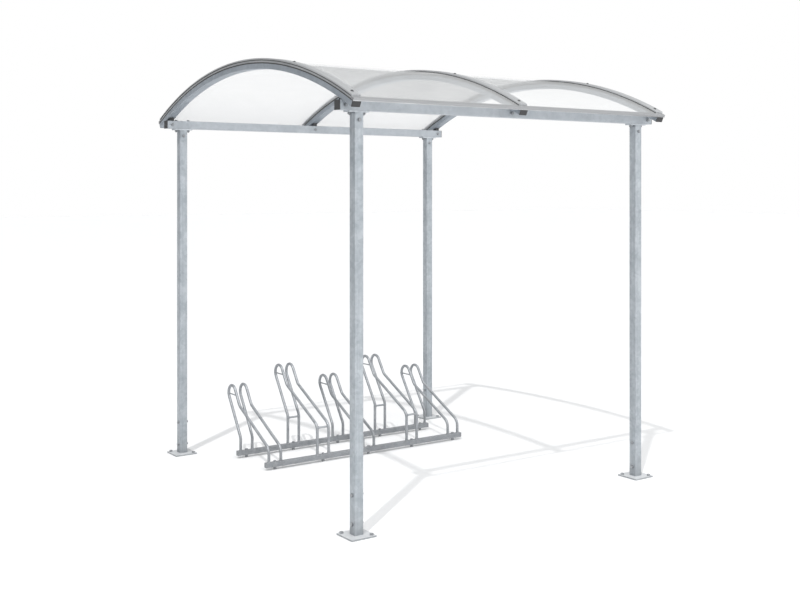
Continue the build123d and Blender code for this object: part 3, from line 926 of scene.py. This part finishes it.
leg_feet, rest_ends, rest_axes, tie_ends, tie_axes = [], [], [], [], []
for name, (low, high) in hoop_boxes.items():
    left, right = low.x + bar_radius, high.x - bar_radius
    leg_feet += [(x, y, rail_top) for y in rail_ys for x in (left, right)]
    tie_level = high.z - bar_radius - tie_drop
    bend_y = high.y - bar_radius - hairpin_gap / 2
    drop = tie_drop - hairpin_gap / 2
    inner, outer = hairpin_gap / 2 - bar_radius, hairpin_gap / 2 + bar_radius
    limb_y = bend_y - drop / math.tan(lean) - inner / math.sin(lean)
    tie_ends.append((left, limb_y, tie_level))
    tie_axes.append((0.0, math.sin(lean), -math.cos(lean)))
    for reach in (inner, outer):
        behind = math.sqrt(reach ** 2 - drop ** 2)
        tie_ends.append((left, bend_y + behind, tie_level))
        tie_axes.append((0.0, behind, -drop))
    if name.startswith("hoops_high"):
        for y in rail_ys:
            rest_ends.append((left + bar_radius, y, rest_level))
            rest_ends.append((right - bar_radius, y, rest_level))
            rest_axes += [(1, 0, 0), (-1, 0, 0)]

bead_offset, rest_bead_offset = 0.0006, 0.0004
weld("leg_welds", radius=bar_radius + bead_offset, size=0.0024, ripples=19,
     ends=leg_feet, axes=[(0, 0, 1)] * len(leg_feet))
weld("tie_welds", radius=tie_radius + bead_offset, size=0.0016, ripples=9,
     ends=tie_ends, axes=tie_axes)
weld("rest_bar_welds", radius=rest_radius + rest_bead_offset, size=0.0022, ripples=13,
     ends=rest_ends, axes=rest_axes)

# %% [markdown]
# ## Studio
# The photograph shows the shelter on plain white with faint shadows that fall to the right
# and back. A large floor that glows a little merges with the white background, so there is
# no horizon. Everything that lights the floor adds up to white, where the key light is cut
# off it stays pale grey, and close under a rail or a plate the glow is dimmed, a painted
# contact shade, so those look as if they rest on the ground. The background that the camera
# sees is pure white, while the steel is lit by a dome that is brighter at the front right, by
# a key light high on the left and by two weak softboxes.

# %% Floor
floor_half = 60.0
floor_grey = (0.78, 0.78, 0.78, 1.0)
white = (1.0, 1.0, 1.0, 1.0)
floor_glow = 0.20
contact_shade_reach = 0.06

floor_mesh = bpy.data.meshes.new("floor")
floor_corners = [(x * floor_half, y * floor_half, 0.0)
                 for x, y in ((-1, -1), (1, -1), (1, 1), (-1, 1))]
floor_mesh.from_pydata(floor_corners, [], [(0, 1, 2, 3)])
floor = bpy.data.objects.new("floor", floor_mesh)
scene.collection.objects.link(floor)
floor_glow_and_painted_shade, tree, surface = start_material("floor_glow_and_painted_shade")
surface["Base Color"].default_value = floor_grey
surface["Roughness"].default_value = 0.9
surface["Specular IOR Level"].default_value = 0.1
surface["Emission Color"].default_value = white
# Painted contact shade: the floor's glow is dimmed by ambient occlusion close under the rack and
# the plates.
painted_contact_shade = put(tree, "ShaderNodeAmbientOcclusion", {"Distance": contact_shade_reach}).outputs["AO"]
tree.links.new(maths(tree, "MULTIPLY", painted_contact_shade, floor_glow), surface["Emission Strength"])
floor_mesh.materials.append(floor_glow_and_painted_shade)
print("floor", 2 * floor_half, "m square")

# %% Light dome, key light and softboxes
world = bpy.data.worlds.new("studio")
scene.world = world
world.use_nodes = True
tree = world.node_tree
tree.nodes.clear()
direction = put(tree, "ShaderNodeTexCoord").outputs["Generated"]
bright_side = (0.62, -0.70, 0.35)
dim_from, bright_from = -0.9, 0.8
sky_white = (0.97, 0.985, 1.0, 1.0)
dim_sky, bright_sky = 0.36, 0.81
toward = put(tree, "ShaderNodeVectorMath", {0: direction, 1: bright_side},
             operation="DOT_PRODUCT").outputs["Value"]
dome = spread(tree, toward, dim_from, bright_from, dim_sky, bright_sky)
dome_light = put(tree, "ShaderNodeBackground", {"Color": sky_white, "Strength": dome}).outputs[0]
backdrop = put(tree, "ShaderNodeBackground", {"Color": white, "Strength": 1.0}).outputs[0]
seen = put(tree, "ShaderNodeLightPath").outputs["Is Camera Ray"]
both = put(tree, "ShaderNodeMixShader", {0: seen, 1: dome_light, 2: backdrop}).outputs[0]
put(tree, "ShaderNodeOutputWorld", {"Surface": both})


def hang(lamp, place, aim):
    """Hang a lamp at a place and turn it to face a point."""
    holder = bpy.data.objects.new(lamp.name, lamp)
    holder.location = place
    away = np.array(place) - np.array(aim)
    level = math.hypot(away[0], away[1])
    holder.rotation_euler = (math.atan2(level, away[2]), 0.0, math.atan2(away[0], -away[1]))
    scene.collection.objects.link(holder)


def softbox(name, size, power):
    """Square lamp of a given size and power."""
    lamp = bpy.data.lights.new(name, "AREA")
    lamp.shape = "SQUARE"
    lamp.size = size
    lamp.energy = power
    return lamp


key = bpy.data.lights.new("key_light", "SUN")
key.energy = 1.45
key.angle = math.radians(1.2)
middle = (0.0, 0.0, 1.2)
high_left = (-4.16, -3.27, 9.69)
above_front, above_right = (-1.0, -6.5, 6.5), (5.0, -6.0, 4.5)
hang(key, high_left, middle)
hang(softbox("front_softbox", size=4.0, power=170.0), above_front, middle)
hang(softbox("right_softbox", size=4.0, power=60.0), above_right, middle)

scene.view_settings.view_transform = "Standard"
print("studio ready")
